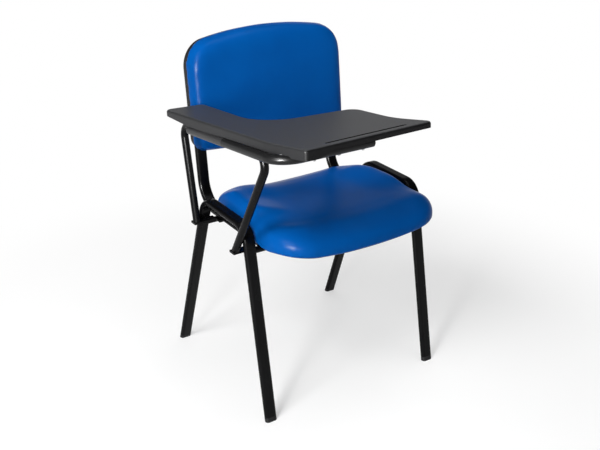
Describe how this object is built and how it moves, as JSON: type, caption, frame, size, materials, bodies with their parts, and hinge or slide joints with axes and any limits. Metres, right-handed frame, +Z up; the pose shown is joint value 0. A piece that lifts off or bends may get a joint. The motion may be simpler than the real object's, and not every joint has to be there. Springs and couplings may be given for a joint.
{
  "type": "tablet arm chair",
  "caption": "Stackable conference chair with padded seat and back on an oval tube frame, and a writing tablet on a tube arm that turns up beside the sitter.",
  "frame": {"origin": "on the floor, under the middle of the chair's box with the tablet down", "axes": "+Z up, -Y the way the sitter faces, +X to the sitter's left; the tablet is on the -X side"},
  "size_m": [0.5526, 0.6192, 0.823],
  "materials": {
    "black_steel": "satin black powder coat",
    "blue_vinyl": "smooth royal blue vinyl over foam",
    "black_plastic": "black moulded plastic",
    "tablet_plastic": "finely grained dark grey moulded plastic",
    "plywood": "raw plywood, covered",
    "zinc_steel": "zinc plated",
    "rubber": "black rubber",
    "nylon": "dark nylon"
  },
  "bodies": {
    "frame": {"left_side_frame": "black_steel", "right_side_frame": "black_steel", "front_left_glide": "black_plastic", "front_right_glide": "black_plastic", "rear_left_glide": "black_plastic", "rear_right_glide": "black_plastic", "front_cross_tube": "black_steel", "rear_cross_tube": "black_steel", "left_back_upright": "black_steel", "right_back_upright": "black_steel", "upright_plugs": "black_plastic", "seat_under_cover": "black_plastic", "seat_board": "plywood", "seat_cushion": "blue_vinyl", "seat_t_nuts": "zinc_steel", "seat_bolts": "zinc_steel", "back_board": "plywood", "back_cushion": "blue_vinyl", "back_shell": "black_plastic", "back_t_nuts": "zinc_steel", "back_bolts": "zinc_steel", "arm_tube": "black_steel", "front_arm_strap": "black_steel", "rear_arm_strap": "black_steel", "hinge_sleeve": "black_steel", "sleeve_plug": "black_plastic", "front_hinge_bush": "nylon", "rear_hinge_bush": "nylon", "stop_pin": "zinc_steel"},
    "tablet": {"hinge_spigot": "zinc_steel", "tablet_tube": "black_steel", "tablet_tube_plug": "black_plastic", "tablet_top": "tablet_plastic", "rest_pads": "rubber", "tablet_screws": "zinc_steel"}
  },
  "joints": [
    {"name": "tablet_hinge", "type": "hinge", "parent": "frame", "child": "tablet", "pos_m": [-0.26401, 0.06296, 0.6535], "axis": [0, -0.9932, 0.1167], "range_deg": [0, 105]}
  ]
}
